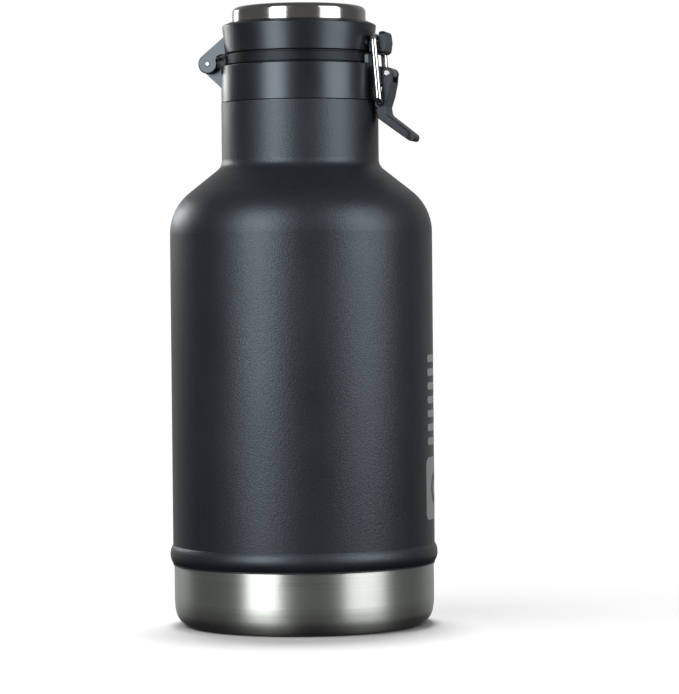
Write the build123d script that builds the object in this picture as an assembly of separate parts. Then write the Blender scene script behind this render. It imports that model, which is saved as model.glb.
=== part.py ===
"""Insulated growler: vacuum bottle, screw collar, hinged lid and over-centre wire latch.

Millimetres. The origin is the centre of the foot, +Z runs up the bottle,
+X points to the latch and -X to the lid hinge.
"""
import os
from math import cos, radians, sin, tan

from build123d import *

# Bottle
BODY_R = 61.3
NECK_R = 36.7
SHOULDER_ANGLE = 38.4
SHOULDER_CORNER_Z = 195.0
SHOULDER_R = 24.5
NECK_FILLET_R = 6.0
SEAM_Z = 243.9
SHEET = 1.0
VACUUM_GAP = 2.4
BEAD_BOTTOM_Z = 28.8
BEAD_TOP_Z = 38.0
BEAD_MID_Z = 33.0
BEAD_R = 62.6
SKIRT_R = 59.8
PLATE_Z = 13.0

# Steel base cup
CUP_R = 60.8
FOOT_INNER_R = 47.0
RECESS_R = 44.0
RECESS_Z = 3.0

# Inner liner
LINER_NECK_R = 32.4
LINER_FLOOR_Z = 16.6
LINER_CORNER_R = 12.0
RIM_Z = 257.6

# Neck thread
PITCH = 4.0
TURNS = 2.0
MALE_CREST_R = 34.0
BORE_R = 34.5
FEMALE_CREST_R = 32.9
ROOT_WIDTH = 1.6
CREST_WIDTH = 0.9
THREAD_Z = 247.2

# Collar and pouring ring
COLLAR_R = 36.6
COLLAR_BOTTOM_Z = 244.1
COLLAR_TOP_Z = 261.1
LEDGE_Z = 259.9
LEDGE_R = 31.2
RING_R = 34.5
RING_TOP_Z = 266.8
RING_GROOVE = 0.6
PAD_HALF = 9.6
PAD_R = 36.6
PAD_INNER_R = 34.9
PAD_BOTTOM_Z = 260.0
PAD_TOP_Z = 266.3
POUR_R = 30.2
SPOUT_R = 30.9
SPOUT_BOTTOM_Z = 250.0

# Hinge
HINGE_X = -42.1
HINGE_Z = 262.7
HINGE_BOSS_R = 4.6
HINGE_PIN_R = 1.25
KNUCKLE_HALF = 4.2
EAR_INNER = 4.6
EAR_OUTER = 9.0

# Lid
LID_BOTTOM_Z = 267.0
LID_BOTTOM_R = 34.7
LID_TOP_R = 36.0
LID_SHOULDER_Z = 279.9
LID_TOP_Z = 281.2
LID_BEVEL_R = 33.0
LID_BORE_R = 32.1
LID_DECK_Z = 278.8
CAP_R = 31.2
CAP_TOP_Z = 288.5
CAP_EDGE_R = 2.6
CAP_SHEET = 0.8
PLUG_R = 29.2
PLUG_BOTTOM_Z = 256.0
PLUG_FLANGE_Z = 268.4
PLUG_FLANGE = 1.6
PLUG_WALL = 1.8

# Latch
PIVOT_X = 43.3
PIVOT_Z = 256.5
PIVOT_BOSS_R = 2.8
LEVER_PIN_R = 1.4
BAIL_END_X = 40.2
BAIL_END_Z = 242.6
BAIL_BOSS_R = 2.9
CROSSBAR_X = 37.7
CROSSBAR_Z = 273.5
WIRE_R = 1.5
BAIL_HALF = 10.0
BAIL_BEND_R = 2.8
BAIL_TIP_Y = 5.0
LEVER_HALF = 7.25
RAIL_INNER = 4.6
HOOK_HALF = 7.0
HOOK_BLOCK_HALF = 9.5
HOOK_BLOCK_R = 35.9
SCREW_Y = 6.0
SCREW_Z = 271.5
SCREW_R = 0.9
SCREW_HEAD_R = 1.4
HOOK_BASE_LOW_Z = 269.0
HOOK_BASE_HIGH_Z = 272.6

RUNNING_GAP = 0.05
EDGE_BREAK = 0.5


def turned(corners, rounds=None):
    """Revolve an (r, z) outline about Z; rounds maps a corner to its fillet radius."""
    face = Plane.XZ * Polygon(*corners, align=None)
    for corner, radius in (rounds or {}).items():
        spot = Vector(corner[0], 0, corner[1])
        vertex = min(face.vertices(), key=lambda v: (Vector(*v) - spot).length)
        face = fillet(vertex, radius)
    return revolve(face, axis=Axis.Z)


def tube(outer_r, inner_r, low_z, high_z):
    """Plain ring between two heights."""
    return turned([(inner_r, low_z), (outer_r, low_z), (outer_r, high_z), (inner_r, high_z)])


def disc(radius, low_z, high_z):
    """Solid cylinder on the bottle's axis."""
    return Pos(0, 0, low_z) * Cylinder(radius, high_z - low_z, align=(Align.CENTER, Align.CENTER, Align.MIN))


def cross_rod(radius, x, z, y_low, y_high):
    """Cylinder along Y between two y values."""
    rod = Cylinder(radius, y_high - y_low)
    return Pos(x, (y_low + y_high) / 2, z) * Rot(90, 0, 0) * rod


def side_plate(outline, y_low, y_high, rounds=None):
    """Extrude an (x, z) outline along Y between two y values; rounds maps a corner to its radius."""
    face = Plane((0, y_high, 0), x_dir=(1, 0, 0), z_dir=(0, -1, 0)) * Polygon(*outline, align=None)
    for corner, radius in (rounds or {}).items():
        spot = Vector(corner[0], y_high, corner[1])
        vertex = min(face.vertices(), key=lambda v: (Vector(*v) - spot).length)
        face = fillet(vertex, radius)
    return extrude(face, amount=y_high - y_low, dir=(0, -1, 0))


def front_block(half_width, low_z, high_z, corner_r):
    """Block across the latch side whose corners are rounded as seen from the front."""
    block = Pos(37.0, 0, (low_z + high_z) / 2) * Box(14, 2 * half_width, high_z - low_z)
    return fillet(block.edges().filter_by(Axis.X), corner_r)


def wall_corners(inset, neck_r, top_z):
    """Corners of the body outline set in from the painted surface, from the body up to the neck."""
    slope = radians(SHOULDER_ANGLE)
    rise = sin(slope)
    run = cos(slope)
    reach = rise * BODY_R + run * SHOULDER_CORNER_Z - inset
    body_r = BODY_R - inset
    shoulder = (body_r, (reach - rise * body_r) / run)
    neck = (neck_r, (reach - rise * neck_r) / run)
    return shoulder, neck, (neck_r, top_z)


def wall_rounds(shoulder, neck, inset):
    """Shoulder and neck fillets that stay parallel to the painted surface."""
    return {shoulder: SHOULDER_R - inset, neck: NECK_FILLET_R + inset}


def thread_ridge(root_r, crest_r, start_z, start_angle):
    """Right-handed helical ridge whose root lies inside the wall it grows from."""
    path = Helix(PITCH, PITCH * TURNS, root_r)
    height = crest_r - root_r
    half_root = ROOT_WIDTH / 2
    half_crest = CREST_WIDTH / 2
    outline = [(0, -half_root), (0, half_root), (height, half_crest), (height, -half_crest)]
    section = Plane(path @ 0, x_dir=(1, 0, 0), z_dir=path % 0) * Polygon(*outline, align=None)
    ridge = sweep(section, path=path, is_frenet=True)
    return Pos(0, 0, start_z) * Rot(0, 0, start_angle) * ridge


def make_outer_shell():
    """Painted outer wall with its rolled bead, turned in at the top and stepped in for the base cup."""
    shoulder, neck, top = wall_corners(0, NECK_R, SEAM_Z)
    outer = [(0, PLATE_Z + SHEET), (SKIRT_R, PLATE_Z + SHEET), (SKIRT_R, BEAD_BOTTOM_Z),
             (BODY_R, BEAD_BOTTOM_Z), (BODY_R, BEAD_TOP_Z), shoulder, neck, top, (0, SEAM_Z)]
    solid = turned(outer, wall_rounds(shoulder, neck, 0))
    bead = make_face(
        ThreePointArc((CUP_R, BEAD_BOTTOM_Z), (BEAD_R, BEAD_MID_Z), (BODY_R, BEAD_TOP_Z))
        + Polyline((BODY_R, BEAD_TOP_Z), (BODY_R - 0.6, BEAD_TOP_Z), (BODY_R - 0.6, BEAD_BOTTOM_Z),
                   (CUP_R, BEAD_BOTTOM_Z)))
    solid += revolve(Plane.XZ * bead, axis=Axis.Z)
    shoulder, neck, top = wall_corners(SHEET, NECK_R - SHEET, SEAM_Z - SHEET)
    inner = [(0, PLATE_Z), (SKIRT_R - SHEET, PLATE_Z), (SKIRT_R - SHEET, BEAD_TOP_Z),
             (BODY_R - SHEET, BEAD_TOP_Z + 1.5), shoulder, neck, top, (0, SEAM_Z - SHEET)]
    solid -= turned(inner, wall_rounds(shoulder, neck, SHEET))
    return solid - disc(LINER_NECK_R, PLATE_Z, SEAM_Z + 1)


def make_bottom_plate():
    """Plate that closes the vacuum space, with the sealing hole at its centre."""
    plate = disc(SKIRT_R, PLATE_Z, PLATE_Z + SHEET)
    return plate - disc(1.5, PLATE_Z - 1, PLATE_Z + 3)


def make_vacuum_seal():
    """Bead that plugs the sealing hole from below."""
    cap = disc(4.0, PLATE_Z - 0.8, PLATE_Z)
    cap = fillet(cap.edges().sort_by(Axis.Z)[0], 0.4)
    return cap + disc(1.5, PLATE_Z - 0.2, PLATE_Z + SHEET)


def make_getter():
    """Getter tablet in its shallow dish, fixed to the plate inside the vacuum."""
    dish = Pos(22, 0, 0) * disc(8.0, PLATE_Z + SHEET, PLATE_Z + SHEET + 1.4)
    dish -= Pos(22, 0, 0) * disc(6.5, PLATE_Z + SHEET + 0.9, PLATE_Z + SHEET + 2)
    return dish


def cup_corner(inset):
    """Three corners of the cup's tucked-in foot, set in by the sheet thickness, with their radii."""
    foot = (55.2 - 0.4 * inset, inset)
    heel = (59.6 - 0.95 * inset, 3.9 + 0.4 * inset)
    wall = (CUP_R - inset, 10.0)
    return foot, heel, wall, {foot: 7.5 - inset, heel: 8.0 - inset, wall: 30.0}


def make_base_cup():
    """Bare steel cup over the bottom of the wall, with a recessed underside."""
    foot, heel, wall, rounds = cup_corner(0)
    recess = (RECESS_R, RECESS_Z)
    rounds[recess] = 2.0
    rounds[(FOOT_INNER_R, 0)] = 2.0
    outer = turned([(0, RECESS_Z), recess, (FOOT_INNER_R, 0), foot, heel, wall, (CUP_R, BEAD_BOTTOM_Z),
                    (0, BEAD_BOTTOM_Z)], rounds)
    foot, heel, wall, rounds = cup_corner(SHEET)
    inner = turned([(0, RECESS_Z + SHEET), (RECESS_R, RECESS_Z + SHEET), (FOOT_INNER_R, SHEET), foot, heel,
                    wall, (SKIRT_R, BEAD_BOTTOM_Z + 1), (0, BEAD_BOTTOM_Z + 1)], rounds)
    return outer - inner


def liner_solid(inset, neck_r, floor_z, top_z, corner_r):
    """Filled inner bottle: the outside of the liner, or its hollow."""
    shoulder, neck, top = wall_corners(inset, neck_r, top_z)
    corner = (BODY_R - inset, floor_z)
    rounds = wall_rounds(shoulder, neck, inset)
    rounds[corner] = corner_r
    return turned([(0, floor_z), corner, shoulder, neck, top, (0, top_z)], rounds)


def make_inner_liner():
    """Steel inner bottle with a threaded mouth."""
    inset = SHEET + VACUUM_GAP
    outside = liner_solid(inset, LINER_NECK_R, LINER_FLOOR_Z, RIM_Z, LINER_CORNER_R)
    outside = outside + thread_ridge(LINER_NECK_R - 0.3, MALE_CREST_R, THREAD_Z, 0)
    hollow = liner_solid(inset + SHEET, LINER_NECK_R - SHEET, LINER_FLOOR_Z + SHEET, RIM_Z + 1,
                         LINER_CORNER_R - SHEET)
    return outside - hollow


def make_collar_gasket():
    """Flat seal between the bottle's rim and the collar."""
    return tube(BORE_R - 0.4, LEDGE_R + 0.4, RIM_Z + 0.1, LEDGE_Z - 0.1)


def make_collar_ring():
    """Screw collar with the hinge knuckle and the lever's lug."""
    top_edge = (COLLAR_R, COLLAR_TOP_Z)
    low_edge = (COLLAR_R, COLLAR_BOTTOM_Z)
    ring = turned([(BORE_R, COLLAR_BOTTOM_Z), low_edge, top_edge, (LEDGE_R, COLLAR_TOP_Z), (LEDGE_R, LEDGE_Z),
                   (BORE_R, LEDGE_Z)], {top_edge: 0.5, low_edge: 0.3})
    web_x = -(COLLAR_R + BORE_R) / 2
    knuckle = side_plate([(HINGE_X - 3.3, HINGE_Z - 3.2), (-COLLAR_R - 0.3, 251.6), (web_x, 251.6),
                          (web_x, COLLAR_TOP_Z - 0.4), (HINGE_X + 2.0, COLLAR_TOP_Z - 0.4)],
                         -KNUCKLE_HALF, KNUCKLE_HALF)
    knuckle += cross_rod(HINGE_BOSS_R, HINGE_X, HINGE_Z, -KNUCKLE_HALF, KNUCKLE_HALF)
    knuckle -= cross_rod(HINGE_PIN_R, HINGE_X, HINGE_Z, -10, 10)
    pad = front_block(PAD_HALF, PAD_BOTTOM_Z, PAD_TOP_Z, 1.6)
    pad &= tube(PAD_R, PAD_INNER_R, PAD_BOTTOM_Z, PAD_TOP_Z)
    lug = side_plate([(-web_x, 249.4), (PIVOT_X + 1.0, PIVOT_Z - 2.6), (PIVOT_X + 1.0, PIVOT_Z + 2.6),
                      (-web_x, 260.6)], -KNUCKLE_HALF, KNUCKLE_HALF)
    lug += cross_rod(PIVOT_BOSS_R - 0.1, PIVOT_X, PIVOT_Z, -KNUCKLE_HALF, KNUCKLE_HALF)
    lug -= cross_rod(LEVER_PIN_R, PIVOT_X, PIVOT_Z, -10, 10)
    return ring + knuckle + pad + lug + thread_ridge(BORE_R + 0.3, FEMALE_CREST_R, THREAD_Z, 180)


def make_pour_ring():
    """Pouring ring that carries the lid's seal and reaches down inside the mouth."""
    lip = (POUR_R, RING_TOP_Z)
    low_edge = (RING_R, COLLAR_TOP_Z + RING_GROOVE)
    top_edge = (RING_R, RING_TOP_Z - RING_GROOVE)
    waist_r = RING_R - 1.0
    return turned([(POUR_R, SPOUT_BOTTOM_Z), (SPOUT_R, SPOUT_BOTTOM_Z), (SPOUT_R, COLLAR_TOP_Z),
                   (waist_r, COLLAR_TOP_Z), (waist_r, COLLAR_TOP_Z + RING_GROOVE), low_edge, top_edge,
                   (waist_r, RING_TOP_Z - RING_GROOVE), (waist_r, RING_TOP_Z), lip],
                  {low_edge: 0.3, top_edge: 0.3, lip: 0.6})


def make_hinge_pin():
    """Hinge pin with slightly domed ends, pressed into the knuckle."""
    pin = cross_rod(HINGE_PIN_R, HINGE_X, HINGE_Z, -EAR_OUTER - 0.4, EAR_OUTER + 0.4)
    return chamfer(pin.edges().filter_by(GeomType.CIRCLE), 0.3)


def make_lever_pin():
    """Lever pin, pressed into the collar's lug."""
    pin = cross_rod(LEVER_PIN_R, PIVOT_X, PIVOT_Z, -LEVER_HALF - 0.4, LEVER_HALF + 0.4)
    return chamfer(pin.edges().filter_by(GeomType.CIRCLE), 0.3)


def lid_outside():
    """Outside of the lid's tapered skirt."""
    bevel = (LID_TOP_R, LID_SHOULDER_Z)
    low = (LID_BOTTOM_R, LID_BOTTOM_Z)
    return turned([(0, LID_BOTTOM_Z), low, bevel, (LID_BEVEL_R, LID_TOP_Z), (0, LID_TOP_Z)],
                  {bevel: 0.8, low: 0.3})


def make_ear(y_low, y_high):
    """Hinge ear that reaches from the lid's wall down to the pin."""
    outline = [(HINGE_X - 2.8, HINGE_Z + 3.6), (-33.6, 275.6), (-31.6, 275.6), (-31.6, LID_BOTTOM_Z + 0.1),
               (-35.8, LID_BOTTOM_Z + 0.1), (-37.8, 266.2), (-38.6, 263.5), (HINGE_X, HINGE_Z)]
    ear = side_plate(outline, y_low, y_high)
    boss = cross_rod(HINGE_BOSS_R, HINGE_X, HINGE_Z, y_low, y_high)
    ear += chamfer(boss.edges().filter_by(GeomType.CIRCLE), EDGE_BREAK)
    return ear - cross_rod(HINGE_PIN_R + RUNNING_GAP, HINGE_X, HINGE_Z, y_low - 1, y_high + 1)


def make_lid_shell():
    """Lid body with its hinge ears and the raised rim that holds the steel cap."""
    lid = lid_outside() + make_ear(EAR_INNER, EAR_OUTER) + make_ear(-EAR_OUTER, -EAR_INNER)
    lid -= disc(LID_BORE_R, LID_BOTTOM_Z - 1, LID_DECK_Z)
    lid += tube(CAP_R - CAP_SHEET, CAP_R - CAP_SHEET - 2.0, LID_DECK_Z + 0.5, LID_TOP_Z + 4.0)
    for side in (-SCREW_Y, SCREW_Y):
        lid -= Pos(34, side, SCREW_Z) * Rot(0, 90, 0) * Cylinder(SCREW_R, 12)
    return lid


def make_lid_cap():
    """Polished steel cap on top of the lid."""
    top = (CAP_R, CAP_TOP_Z)
    inner_top = (CAP_R - CAP_SHEET, CAP_TOP_Z - CAP_SHEET)
    cap = turned([(0, LID_TOP_Z), (CAP_R, LID_TOP_Z), top, (0, CAP_TOP_Z)], {top: CAP_EDGE_R})
    hollow = turned([(0, LID_TOP_Z - 1), (CAP_R - CAP_SHEET, LID_TOP_Z - 1), inner_top,
                     (0, CAP_TOP_Z - CAP_SHEET)], {inner_top: CAP_EDGE_R - CAP_SHEET})
    return cap - hollow


def make_lid_plug():
    """Hollow plug that hangs inside the mouth."""
    low = (PLUG_R, PLUG_BOTTOM_Z)
    flange_top = PLUG_FLANGE_Z + PLUG_FLANGE
    plug = turned([(0, PLUG_BOTTOM_Z), low, (PLUG_R, PLUG_FLANGE_Z), (LID_BORE_R, PLUG_FLANGE_Z),
                   (LID_BORE_R, flange_top), (0, flange_top)], {low: 2.0})
    return plug - disc(PLUG_R - PLUG_WALL, PLUG_BOTTOM_Z + PLUG_WALL, flange_top + 1)


def make_lid_foam():
    """Foam that fills the plug and the lid above it."""
    flange_top = PLUG_FLANGE_Z + PLUG_FLANGE
    foam = disc(PLUG_R - PLUG_WALL, PLUG_BOTTOM_Z + PLUG_WALL, flange_top)
    return foam + disc(PLUG_R - 0.4, flange_top, LID_DECK_Z)


def make_lid_gasket():
    """Silicone ring round the plug that closes on the pouring ring."""
    low = (LID_BORE_R - 0.3, RING_TOP_Z + 0.02)
    return turned([(PLUG_R, RING_TOP_Z + 0.02), low, (LID_BORE_R - 0.3, PLUG_FLANGE_Z),
                   (PLUG_R, PLUG_FLANGE_Z)], {low: 0.3})


def make_latch_hook():
    """Hook that the wire crossbar is pulled over, with a curved base against the lid."""
    base = front_block(HOOK_BLOCK_HALF, HOOK_BASE_LOW_Z, HOOK_BASE_HIGH_Z, 1.6)
    base &= disc(HOOK_BLOCK_R, 260, 280)
    base -= lid_outside()
    low = (42.4, 265.6)
    high = (42.6, 276.0)
    lip = (39.6, 276.0)
    outline = [(35.2, 266.4), (37.6, 265.6), low, (43.2, 271.0), high, lip, (39.6, 271.4), (35.2, 271.4)]
    arm = side_plate(outline, -HOOK_HALF, HOOK_HALF, {low: 2.2, high: 1.2, lip: 1.2})
    arm &= front_block(HOOK_HALF, 264.6, 276.4, 2.6)
    arm -= disc(35.3, 260, 280)
    arm -= disc(PAD_R + 0.35, 260, PAD_TOP_Z + 0.35)
    hook = base + arm
    for side in (-SCREW_Y, SCREW_Y):
        hook -= Pos(33.0, side, SCREW_Z) * Rot(0, 90, 0) * Cylinder(SCREW_R, 4.0)
    return hook


def make_hook_screws():
    """Two screws that hold the hook from inside the lid."""
    screws = []
    for side in (-SCREW_Y, SCREW_Y):
        shank = Pos(32.95, side, SCREW_Z) * Rot(0, 90, 0) * Cylinder(SCREW_R, 3.9)
        head = Pos(30.5, side, SCREW_Z) * Rot(0, 90, 0) * Cylinder(SCREW_HEAD_R, 1.2)
        screws.append(shank + head)
    return Compound(children=screws)


def make_lever():
    """Latch lever: two rails on the pin, closed in front and joined below by a thumb tab."""
    heel = (37.6, 239.6)
    elbow = (39.0, 235.6)
    tip_low = (54.6, 224.3)
    tip_high = (56.5, 227.2)
    crook = (43.2, 237.6)
    waist = (42.7, 241.0)
    knee = (44.3, 246.0)
    outline = [(40.6, PIVOT_Z), (40.9, 250.0), (40.0, BAIL_END_Z), heel, elbow, tip_low, tip_high, crook,
               waist, knee, (45.6, 252.0), (PIVOT_X + 2.7, PIVOT_Z)]
    rounds = {heel: 1.0, elbow: 2.0, tip_low: 1.6, tip_high: 1.6, crook: 3.0, waist: 2.0, knee: 6.0}
    lever = side_plate(outline, -LEVER_HALF, LEVER_HALF, rounds)
    lever = chamfer(lever.faces().filter_by(Axis.Y).edges(), EDGE_BREAK)
    lever &= Pos(36.5, 0, 240) * extrude(RectangleRounded(40, 2 * LEVER_HALF, 4.0), 40, both=True)
    slot = [(30, PIVOT_Z + 5), (30, 240.4), (41.2, 240.4), (42.8, 246.0), (44.0, 252.4), (50, 252.4),
            (50, PIVOT_Z + 5)]
    lever -= side_plate(slot, -RAIL_INNER, RAIL_INNER)
    for radius, x, z in ((PIVOT_BOSS_R, PIVOT_X, PIVOT_Z), (BAIL_BOSS_R, BAIL_END_X, BAIL_END_Z)):
        boss = cross_rod(radius, x, z, -LEVER_HALF, LEVER_HALF)
        boss = chamfer(boss.edges().filter_by(GeomType.CIRCLE), EDGE_BREAK)
        lever += boss - Pos(x, 0, z) * Box(8, 2 * RAIL_INNER, 8)
    lever -= cross_rod(LEVER_PIN_R + RUNNING_GAP, PIVOT_X, PIVOT_Z, -10, 10)
    return lever - cross_rod(WIRE_R + RUNNING_GAP, BAIL_END_X, BAIL_END_Z, -10, 10)


def make_bail_wire():
    """Bent wire loop from the lever's holes over the hook."""
    along = Vector(CROSSBAR_X - BAIL_END_X, 0, CROSSBAR_Z - BAIL_END_Z)
    reach = along.length
    facing = Vector(0, 1, 0).cross(along.normalized())
    plane = Plane((BAIL_END_X, 0, BAIL_END_Z), x_dir=(0, 1, 0), z_dir=facing)
    loop = FilletPolyline((-BAIL_TIP_Y, 0), (-BAIL_HALF, 0), (-BAIL_HALF, reach), (BAIL_HALF, reach),
                          (BAIL_HALF, 0), (BAIL_TIP_Y, 0), radius=BAIL_BEND_R)
    path = plane * loop
    section = Plane(path @ 0, z_dir=path % 0) * Circle(WIRE_R)
    return sweep(section, path=path)


PARTS = {
    "outer_shell": make_outer_shell,
    "bottom_plate": make_bottom_plate,
    "base_cup": make_base_cup,
    "inner_liner": make_inner_liner,
    "getter": make_getter,
    "vacuum_seal": make_vacuum_seal,
    "collar_gasket": make_collar_gasket,
    "collar_ring": make_collar_ring,
    "pour_ring": make_pour_ring,
    "hinge_pin": make_hinge_pin,
    "lever_pin": make_lever_pin,
    "lid_shell": make_lid_shell,
    "lid_cap": make_lid_cap,
    "lid_foam": make_lid_foam,
    "lid_plug": make_lid_plug,
    "lid_gasket": make_lid_gasket,
    "latch_hook": make_latch_hook,
    "hook_screws": make_hook_screws,
    "lever": make_lever,
    "bail_wire": make_bail_wire,
}

os.makedirs("parts", exist_ok=True)
for node, make in PARTS.items():
    part = make()
    part.label = node
    export_step(part, f"parts/{node}.step")
    print(node, round(part.volume, 1), len(part.solids()))
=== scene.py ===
"""Looks for the insulated growler: camera, studio, procedural materials and the emblem's pieces."""
import math

import bmesh
import bpy
from mathutils import Matrix, Vector


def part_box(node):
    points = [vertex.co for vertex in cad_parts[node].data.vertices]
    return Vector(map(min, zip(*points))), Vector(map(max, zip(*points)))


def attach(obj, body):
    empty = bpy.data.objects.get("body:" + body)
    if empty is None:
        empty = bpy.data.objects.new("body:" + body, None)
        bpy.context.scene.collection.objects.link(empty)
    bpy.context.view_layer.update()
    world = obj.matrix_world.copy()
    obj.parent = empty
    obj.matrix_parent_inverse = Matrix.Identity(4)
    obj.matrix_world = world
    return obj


MM = 0.001

# camera: where it stands and how it points
AZIMUTH = math.radians(13.5)
CAMERA_DISTANCE = 1.45907
CAMERA_HEIGHT = 0.16033
CAMERA_SIDE = 0.01749
CAMERA_PITCH = 0.021
CAMERA_ROLL = math.radians(0.54)
LENS = 161.6
SENSOR_WIDTH = 36.0

# studio: soft boxes for the growler, suns for the floor, and the room round them
ROOM_LEVEL = 0.20
BACKDROP_LEVEL = 0.5
BACKDROP_FROM = 0.45
BACKDROP_TO = 0.95
FLOOR_SHADE = 0.03
FLOOR_SHADE_FROM = -0.24
FLOOR_SHADE_TO = -0.09
FLOOR_RADIUS = 30.0
LAMPS = (  # name, angle, distance, height, height of its target, (width, height) of the box, watts
    ("soft_left", -36, 0.95, 0.52, 0.52, (0.48, 0.90), 10.8),
    ("soft_right", 56, 0.95, 0.54, 0.54, (0.64, 0.90), 9.4),
    ("rim_left", -138, 0.90, 0.40, 0.40, (0.28, 0.20), 1.75),
)
FLOOR_SUNS = (  # name, angle, elevation, spread, strength
    ("floor_back", 180, 80, 14, 2.60),
    ("floor_key", -55, 50, 56, 1.15),
)

# emblem: millimetres up the body and round it, angles in degrees from +X
BEAD_PROUD = 0.0013
MARK_SUNK = 0.00002
MARK_THICKNESS = 0.00006
MARK_ANGLE = 6.0
BADGE_Z = 64.1
BADGE_HALF_HEIGHT = 14.5
BADGE_HALF_ANGLE = 14.0
BADGE_CORNER = 3.6
BADGE_CORNER_STRETCH = 1.06
WINDOW_HALF = (7.0, 7.4)
DOT_HALF = (3.6, 3.8)
STRIPES = 7
STRIPE_FIRST_Z = 86.0
STRIPE_STEP = 6.4
STRIPE_START = -11.6
STRIPE_HALF_LONG = 9.6
STRIPE_HALF_SHORT = 7.2
STRIPE_HALF_HEIGHT = 1.7
STRIPE_CORNER = 1.5
WRAP_CUTS = 8

# tint of the black parts' highlights
COOL = (0.76, 0.89, 1.0, 1.0)
BLACK = (0.0045, 0.0055, 0.0075)

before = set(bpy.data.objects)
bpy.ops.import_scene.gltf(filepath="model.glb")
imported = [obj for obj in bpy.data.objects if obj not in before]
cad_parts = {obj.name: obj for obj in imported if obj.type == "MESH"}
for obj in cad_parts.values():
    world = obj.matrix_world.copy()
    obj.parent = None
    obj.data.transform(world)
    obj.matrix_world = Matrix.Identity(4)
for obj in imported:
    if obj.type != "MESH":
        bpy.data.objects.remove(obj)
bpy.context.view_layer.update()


# ---------------------------------------------------------------- node helpers
def new_material(name):
    """Empty node material with a Principled shader."""
    material = bpy.data.materials.new(name)
    material.use_nodes = True
    tree = material.node_tree
    tree.nodes.clear()
    output = tree.nodes.new("ShaderNodeOutputMaterial")
    shader = tree.nodes.new("ShaderNodeBsdfPrincipled")
    tree.links.new(shader.outputs[0], output.inputs[0])
    return material, tree, shader


def coords(tree, scale=(1, 1, 1)):
    """Object coordinates in metres, scaled."""
    source = tree.nodes.new("ShaderNodeTexCoord")
    mapping = tree.nodes.new("ShaderNodeMapping")
    mapping.inputs["Scale"].default_value = scale
    tree.links.new(source.outputs["Object"], mapping.inputs["Vector"])
    return mapping.outputs[0]


def noise(tree, vector, scale, detail=3.0, roughness=0.5):
    """Noise texture factor."""
    node = tree.nodes.new("ShaderNodeTexNoise")
    node.inputs["Scale"].default_value = scale
    node.inputs["Detail"].default_value = detail
    node.inputs["Roughness"].default_value = roughness
    tree.links.new(vector, node.inputs["Vector"])
    return node.outputs["Fac"]


def span(tree, value, low, high, to_low, to_high):
    """Map a value from one range to another, clamped."""
    node = tree.nodes.new("ShaderNodeMapRange")
    for name, number in (("From Min", low), ("From Max", high), ("To Min", to_low), ("To Max", to_high)):
        node.inputs[name].default_value = number
    tree.links.new(value, node.inputs["Value"])
    return node.outputs[0]


def mix_colour(tree, factor, first, second):
    """Blend two colours by a factor; either colour may be a socket or a tuple."""
    node = tree.nodes.new("ShaderNodeMix")
    node.data_type = "RGBA"
    tree.links.new(factor, node.inputs["Factor"])
    for socket, value in ((node.inputs[6], first), (node.inputs[7], second)):
        if isinstance(value, tuple):
            socket.default_value = (*value, 1)
        else:
            tree.links.new(value, socket)
    return node.outputs[2]


def math_node(tree, operation, first, second):
    """One arithmetic node; either input may be a socket or a number."""
    node = tree.nodes.new("ShaderNodeMath")
    node.operation = operation
    for socket, value in ((node.inputs[0], first), (node.inputs[1], second)):
        if isinstance(value, (int, float)):
            socket.default_value = value
        else:
            tree.links.new(value, socket)
    return node.outputs[0]


def bump(tree, shader, height, distance, strength):
    """Bump from a height socket, in metres."""
    node = tree.nodes.new("ShaderNodeBump")
    node.inputs["Distance"].default_value = distance
    node.inputs["Strength"].default_value = strength
    tree.links.new(height, node.inputs["Height"])
    tree.links.new(node.outputs[0], shader.inputs["Normal"])


def radial_tangent(tree, shader):
    """Brushing that runs round the bottle's axis."""
    node = tree.nodes.new("ShaderNodeTangent")
    node.direction_type = "RADIAL"
    node.axis = "Z"
    tree.links.new(node.outputs[0], shader.inputs["Tangent"])


# ---------------------------------------------------------------- materials
def powder_coat():
    """Matte black powder coat: fine orange peel, sparse pale specks and cloudy gloss."""
    material, tree, shader = new_material("powder_coat")
    place = coords(tree)
    grain = noise(tree, place, 2300, 2.0, 0.6)
    peel = noise(tree, place, 1150, 2.0, 0.5)
    cloud = noise(tree, place, 22, 3.0, 0.5)
    speck = span(tree, noise(tree, place, 3200, 1.0, 0.5), 0.64, 0.72, 0.0, 1.0)
    patch = span(tree, cloud, 0.3, 0.7, 0, 1)
    base = mix_colour(tree, patch, (0.0050, 0.0060, 0.0085), (0.0070, 0.0082, 0.0110))
    tree.links.new(mix_colour(tree, speck, base, (0.026, 0.028, 0.033)), shader.inputs["Base Color"])
    rough = span(tree, math_node(tree, "ADD", cloud, grain), 0.6, 1.4, 0.36, 0.46)
    tree.links.new(rough, shader.inputs["Roughness"])
    height = math_node(tree, "ADD", grain, math_node(tree, "MULTIPLY", peel, 1.7))
    bump(tree, shader, height, 0.00007, 0.6)
    shader.inputs["IOR"].default_value = 1.5
    shader.inputs["Specular IOR Level"].default_value = 0.62
    shader.inputs["Specular Tint"].default_value = COOL
    return material


def satin_black(name, tint, rough_low, rough_high, grain_scale, depth, level=0.62):
    """Satin black part with a fine texture and cloudy gloss."""
    material, tree, shader = new_material(name)
    place = coords(tree)
    grain = noise(tree, place, grain_scale, 2.0, 0.55)
    cloud = noise(tree, place, 60, 3.0, 0.5)
    light = tuple(channel * 1.35 for channel in tint)
    patch = span(tree, cloud, 0.3, 0.7, 0, 1)
    tree.links.new(mix_colour(tree, patch, tint, light), shader.inputs["Base Color"])
    tree.links.new(span(tree, cloud, 0.3, 0.7, rough_low, rough_high), shader.inputs["Roughness"])
    bump(tree, shader, grain, depth, 0.5)
    shader.inputs["Specular IOR Level"].default_value = level
    shader.inputs["Specular Tint"].default_value = COOL
    return material


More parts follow.
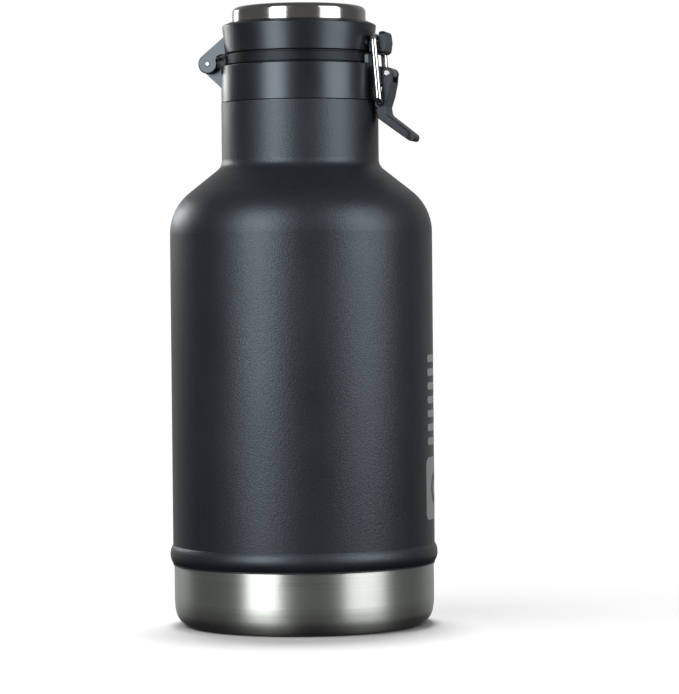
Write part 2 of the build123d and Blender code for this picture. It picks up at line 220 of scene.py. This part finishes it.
def brushed(name, dark, light, rough_low, rough_high, aniso):
    """Steel brushed round the axis: fine lines that vary with height, and faint stains."""
    material, tree, shader = new_material(name)
    fine = noise(tree, coords(tree, (14, 14, 9000)), 1.0, 4.0, 0.7)
    coarse = noise(tree, coords(tree, (5, 5, 1400)), 1.0, 3.0, 0.6)
    stain = noise(tree, coords(tree), 30, 3.0, 0.55)
    lines = math_node(tree, "ADD", math_node(tree, "MULTIPLY", fine, 0.6),
                      math_node(tree, "MULTIPLY", coarse, 0.4))
    colour = mix_colour(tree, span(tree, lines, 0.35, 0.65, 0, 1), dark, light)
    tree.links.new(colour, shader.inputs["Base Color"])
    rough = math_node(tree, "ADD", span(tree, lines, 0.3, 0.7, rough_low, rough_high),
                      span(tree, stain, 0.45, 0.75, 0.0, 0.05))
    tree.links.new(rough, shader.inputs["Roughness"])
    bump(tree, shader, lines, 0.000005, 0.5)
    shader.inputs["Metallic"].default_value = 1.0
    shader.inputs["Anisotropic"].default_value = aniso
    shader.inputs["Anisotropic Rotation"].default_value = 0.25
    radial_tangent(tree, shader)
    return material


def polished(name, colour, rough_low, rough_high):
    """Polished steel with faint smears and hairline scratches."""
    material, tree, shader = new_material(name)
    smear = noise(tree, coords(tree), 120, 4.0, 0.6)
    scratch = noise(tree, coords(tree, (300, 300, 5200)), 1.0, 2.0, 0.6)
    dull = tuple(channel * 0.86 for channel in colour)
    patch = span(tree, smear, 0.35, 0.7, 0, 1)
    tree.links.new(mix_colour(tree, patch, colour, dull), shader.inputs["Base Color"])
    rough = math_node(tree, "ADD", span(tree, smear, 0.3, 0.75, rough_low, rough_high),
                      span(tree, scratch, 0.6, 0.75, 0.0, 0.05))
    tree.links.new(rough, shader.inputs["Roughness"])
    bump(tree, shader, scratch, 0.000005, 0.3)
    shader.inputs["Metallic"].default_value = 1.0
    return material


def rubber():
    """Dark matte silicone."""
    material, tree, shader = new_material("seal_silicone")
    place = coords(tree)
    cloud = noise(tree, place, 90, 3.0, 0.5)
    colour = mix_colour(tree, cloud, (0.045, 0.045, 0.047), (0.07, 0.07, 0.072))
    tree.links.new(colour, shader.inputs["Base Color"])
    tree.links.new(span(tree, cloud, 0.3, 0.7, 0.6, 0.75), shader.inputs["Roughness"])
    bump(tree, shader, noise(tree, place, 1500), 0.00003, 0.4)
    return material


def foam():
    """Cream rigid foam with open cells, with painted shade darkening each cell's hollow."""
    material, tree, shader = new_material("rigid_foam")
    place = coords(tree)
    cells = tree.nodes.new("ShaderNodeTexVoronoi")
    cells.inputs["Scale"].default_value = 900
    tree.links.new(place, cells.inputs["Vector"])
    # painted shade: the colour darkens toward each cell's centre, where the bump sinks the surface
    colour = mix_colour(tree, cells.outputs["Distance"], (0.62, 0.58, 0.45), (0.85, 0.82, 0.70))
    tree.links.new(colour, shader.inputs["Base Color"])
    shader.inputs["Roughness"].default_value = 0.85
    bump(tree, shader, cells.outputs["Distance"], 0.0003, 0.6)
    return material


def glass_bead():
    """Dark fused sealing bead."""
    material, tree, shader = new_material("fused_bead")
    cloud = noise(tree, coords(tree), 400)
    colour = mix_colour(tree, cloud, (0.10, 0.09, 0.07), (0.22, 0.19, 0.15))
    tree.links.new(colour, shader.inputs["Base Color"])
    shader.inputs["Roughness"].default_value = 0.18
    return material


def marking():
    """Pale etched metal of the emblem."""
    material, tree, shader = new_material("etched_mark")
    place = coords(tree)
    grain = noise(tree, place, 3800, 2.0, 0.7)
    colour = mix_colour(tree, grain, (0.27, 0.285, 0.285), (0.42, 0.44, 0.435))
    tree.links.new(colour, shader.inputs["Base Color"])
    tree.links.new(span(tree, grain, 0.3, 0.7, 0.42, 0.6), shader.inputs["Roughness"])
    bump(tree, shader, grain, 0.00004, 0.5)
    shader.inputs["Metallic"].default_value = 0.6
    return material


COAT = powder_coat()
COLLAR = satin_black("collar_satin", BLACK, 0.30, 0.34, 2300, 0.00003)
LID = satin_black("lid_satin", BLACK, 0.32, 0.37, 2300, 0.00003)
RING = satin_black("ring_satin", (0.002, 0.0023, 0.003), 0.42, 0.50, 1500, 0.00004, 0.30)
LEVER = satin_black("lever_satin", (0.006, 0.007, 0.009), 0.40, 0.50, 1800, 0.00005, 0.38)
PLUG = satin_black("plug_satin", (0.016, 0.016, 0.016), 0.38, 0.5, 1800, 0.00004)
BASE_STEEL = brushed("base_brushed", (0.49, 0.514, 0.485), (0.575, 0.60, 0.57), 0.33, 0.40, 0.82)
LINER_STEEL = brushed("liner_brushed", (0.42, 0.41, 0.40), (0.66, 0.65, 0.63), 0.24, 0.36, 0.6)
PLATE_STEEL = brushed("plate_mill", (0.36, 0.35, 0.34), (0.52, 0.51, 0.49), 0.34, 0.46, 0.3)
GETTER = brushed("getter_sinter", (0.14, 0.14, 0.14), (0.26, 0.26, 0.26), 0.5, 0.65, 0.0)
CAP_STEEL = polished("cap_polished", (0.33, 0.322, 0.312), 0.10, 0.16)
PIN_STEEL = polished("pin_polished", (0.36, 0.37, 0.39), 0.46, 0.54)
WIRE_STEEL = polished("wire_polished", (0.60, 0.60, 0.60), 0.12, 0.18)
SEAL = rubber()
FOAM = foam()
BEAD = glass_bead()
MARK = marking()

NODE_MATERIALS = {
    "outer_shell": COAT, "bottom_plate": PLATE_STEEL, "base_cup": BASE_STEEL, "inner_liner": LINER_STEEL,
    "getter": GETTER, "vacuum_seal": BEAD, "collar_gasket": SEAL, "collar_ring": COLLAR, "pour_ring": RING,
    "hinge_pin": PIN_STEEL, "lever_pin": PIN_STEEL, "lid_shell": LID, "lid_cap": CAP_STEEL, "lid_foam": FOAM,
    "lid_plug": PLUG, "lid_gasket": SEAL, "latch_hook": LEVER, "hook_screws": PIN_STEEL, "lever": LEVER,
    "bail_wire": WIRE_STEEL,
}
for node, material in NODE_MATERIALS.items():
    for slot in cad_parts[node].material_slots:
        slot.material = material


# ---------------------------------------------------------------- emblem on the body
BODY_R = round(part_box("outer_shell")[1][0], 4) - BEAD_PROUD
MARK_R = BODY_R - MARK_SUNK
ANGLE_PER_MM = 360 * MM / (2 * math.pi * BODY_R)


def wrapped_plate(name, outline_loops):
    """Thin plate wrapped round the body from loops of (angle in degrees, z in mm); the first is outside."""
    mesh = bmesh.new()
    loops = []
    for loop in outline_loops:
        loops.append([mesh.verts.new((angle, 0, height)) for angle, height in loop])
    edges = []
    for loop in loops:
        for index, vertex in enumerate(loop):
            edges.append(mesh.edges.new((vertex, loop[(index + 1) % len(loop)])))
    bmesh.ops.triangle_fill(mesh, edges=edges, use_beauty=True)
    bmesh.ops.subdivide_edges(mesh, edges=mesh.edges[:], cuts=WRAP_CUTS, use_grid_fill=True)
    made = bmesh.ops.extrude_face_region(mesh, geom=mesh.faces[:])
    raised = {vertex for vertex in made["geom"] if isinstance(vertex, bmesh.types.BMVert)}
    for vertex in mesh.verts:
        angle = math.radians(vertex.co.x)
        reach = MARK_R + (MARK_THICKNESS if vertex in raised else 0)
        vertex.co = (math.cos(angle) * reach, math.sin(angle) * reach, vertex.co.z * MM)
    bmesh.ops.recalc_face_normals(mesh, faces=mesh.faces[:])
    data = bpy.data.meshes.new(name)
    mesh.to_mesh(data)
    mesh.free()
    data.materials.append(MARK)
    plate = bpy.data.objects.new(name, data)
    bpy.context.scene.collection.objects.link(plate)
    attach(plate, "bottle")


def rounded_box(centre, half, corner, steps=6):
    """Rounded rectangle in (angle, z) units; corner holds its two radii."""
    points = []
    for quarter, (side, end) in enumerate(((1, 1), (-1, 1), (-1, -1), (1, -1))):
        for step in range(steps + 1):
            turn = math.radians(90 * (quarter + step / steps))
            points.append((centre[0] + side * (half[0] - corner[0]) + corner[0] * math.cos(turn),
                           centre[1] + end * (half[1] - corner[1]) + corner[1] * math.sin(turn)))
    return points


def oval(centre, half, step):
    """Oval in (angle, z) units, a point at each step of degrees."""
    turns = [math.radians(degrees) for degrees in range(0, 360, step)]
    return [(centre[0] + half[0] * math.cos(turn), centre[1] + half[1] * math.sin(turn)) for turn in turns]


def emblem():
    """Plate with a round window and a dot in it, under a row of stripes of two lengths."""
    centre = (MARK_ANGLE, BADGE_Z)
    corner = (BADGE_CORNER * ANGLE_PER_MM * BADGE_CORNER_STRETCH, BADGE_CORNER)
    badge = rounded_box(centre, (BADGE_HALF_ANGLE, BADGE_HALF_HEIGHT), corner)
    wrapped_plate("emblem_badge", [badge, oval(centre, WINDOW_HALF, 15)])
    wrapped_plate("emblem_dot", [oval(centre, DOT_HALF, 20)])
    for index in range(STRIPES):
        half = STRIPE_HALF_SHORT if index % 2 else STRIPE_HALF_LONG
        middle = (MARK_ANGLE + STRIPE_START + half, STRIPE_FIRST_Z + STRIPE_STEP * index)
        stripe = rounded_box(middle, (half, STRIPE_HALF_HEIGHT), (STRIPE_CORNER, STRIPE_CORNER), 4)
        wrapped_plate(f"emblem_bar_{index + 1}", [stripe])


emblem()


# ---------------------------------------------------------------- studio
def polar(angle, distance, height):
    """A point at an angle from the camera's side of the bottle; positive is to the picture's right."""
    turn = AZIMUTH + math.radians(angle)
    return Vector((math.sin(turn) * distance, -math.cos(turn) * distance, height))


def link_light(lamp, floor, state):
    """Light linking: INCLUDE lights just the floor, EXCLUDE lights everything else."""
    group = bpy.data.collections.new(lamp.name + "_link")
    group.objects.link(floor)
    lamp.light_linking.receiver_collection = group
    group.collection_objects[0].light_linking.link_state = state


def soft_box(floor, name, angle, distance, height, aim, size, energy):
    """Rectangular soft box round the bottle, aimed at its axis; it leaves the floor unlit."""
    data = bpy.data.lights.new(name, "AREA")
    data.shape = "RECTANGLE"
    data.size, data.size_y = size
    data.energy = energy
    lamp = bpy.data.objects.new(name, data)
    bpy.context.scene.collection.objects.link(lamp)
    lamp.location = polar(angle, distance, height)
    lamp.rotation_euler = (Vector((0, 0, aim)) - lamp.location).to_track_quat("-Z", "Y").to_euler()
    link_light(lamp, floor, "EXCLUDE")


def floor_sun(floor, name, angle, elevation, spread, strength):
    """Soft light for the floor alone, from an angle round the bottle."""
    data = bpy.data.lights.new(name, "SUN")
    data.angle = math.radians(spread)
    data.energy = strength
    lamp = bpy.data.objects.new(name, data)
    bpy.context.scene.collection.objects.link(lamp)
    lean = math.radians(elevation)
    source = polar(angle, math.cos(lean), math.sin(lean))
    lamp.rotation_euler = (-source).to_track_quat("-Z", "Y").to_euler()
    link_light(lamp, floor, "INCLUDE")


def make_floor():
    """Wide round pale floor that runs into the white background."""
    mesh = bmesh.new()
    bmesh.ops.create_circle(mesh, cap_ends=True, segments=96, radius=FLOOR_RADIUS)
    data = bpy.data.meshes.new("studio_floor")
    mesh.to_mesh(data)
    mesh.free()
    floor = bpy.data.objects.new("studio_floor", data)
    bpy.context.scene.collection.objects.link(floor)
    material, tree, shader = new_material("pale_floor")
    cloud = noise(tree, coords(tree), 2.0)
    colour = mix_colour(tree, cloud, (0.80, 0.80, 0.80), (0.82, 0.82, 0.82))
    tree.links.new(colour, shader.inputs["Base Color"])
    shader.inputs["Roughness"].default_value = 0.8
    shader.inputs["Specular IOR Level"].default_value = 0.1
    data.materials.append(material)
    floor.visible_glossy = False
    floor.visible_diffuse = False
    return floor


def make_world():
    """White to the eye; it lights the bottle from behind, like a bright backdrop in a dim room."""
    world = bpy.data.worlds.new("studio")
    bpy.context.scene.world = world
    world.use_nodes = True
    sky = world.node_tree
    background = sky.nodes["Background"]
    background.inputs["Color"].default_value = (1, 1, 1, 1)
    source = sky.nodes.new("ShaderNodeTexCoord")
    facing = sky.nodes.new("ShaderNodeVectorMath")
    facing.operation = "DOT_PRODUCT"
    facing.inputs[1].default_value = (-math.sin(AZIMUTH), math.cos(AZIMUTH), 0)
    sky.links.new(source.outputs["Generated"], facing.inputs[0])
    backdrop = span(sky, facing.outputs["Value"], BACKDROP_FROM, BACKDROP_TO, ROOM_LEVEL, BACKDROP_LEVEL)
    parts = sky.nodes.new("ShaderNodeSeparateXYZ")
    sky.links.new(source.outputs["Generated"], parts.inputs[0])
    below = span(sky, parts.outputs["Z"], FLOOR_SHADE_FROM, FLOOR_SHADE_TO, FLOOR_SHADE, 1.0)
    seen = sky.nodes.new("ShaderNodeLightPath")
    lit = math_node(sky, "MULTIPLY", backdrop, below)
    level = math_node(sky, "MAXIMUM", lit, seen.outputs["Is Camera Ray"])
    sky.links.new(level, background.inputs["Strength"])


def make_camera():
    """Camera on a level line of sight past the bottle, tipped and rolled a little."""
    right = Vector((math.cos(AZIMUTH), math.sin(AZIMUTH), 0))
    ahead = Vector((-math.sin(AZIMUTH), math.cos(AZIMUTH), 0))
    data = bpy.data.cameras.new("camera")
    data.sensor_width = SENSOR_WIDTH
    data.lens = LENS
    data.clip_start = 0.05
    data.clip_end = 50
    camera = bpy.data.objects.new("camera", data)
    bpy.context.scene.collection.objects.link(camera)
    bpy.context.scene.camera = camera
    look = (ahead * math.cos(CAMERA_PITCH) - Vector((0, 0, 1)) * math.sin(CAMERA_PITCH)).normalized()
    up = right.cross(look)
    right_rolled = right * math.cos(CAMERA_ROLL) - up * math.sin(CAMERA_ROLL)
    up_rolled = up * math.cos(CAMERA_ROLL) + right * math.sin(CAMERA_ROLL)
    basis = Matrix((right_rolled, up_rolled, -look)).transposed()
    stand = right * CAMERA_SIDE - ahead * CAMERA_DISTANCE + Vector((0, 0, CAMERA_HEIGHT))
    camera.matrix_world = Matrix.Translation(stand) @ basis.to_4x4()


studio_floor = make_floor()
for lamp in LAMPS:
    soft_box(studio_floor, *lamp)
for sun in FLOOR_SUNS:
    floor_sun(studio_floor, *sun)
make_world()
make_camera()
bpy.context.scene.view_settings.view_transform = "Standard"
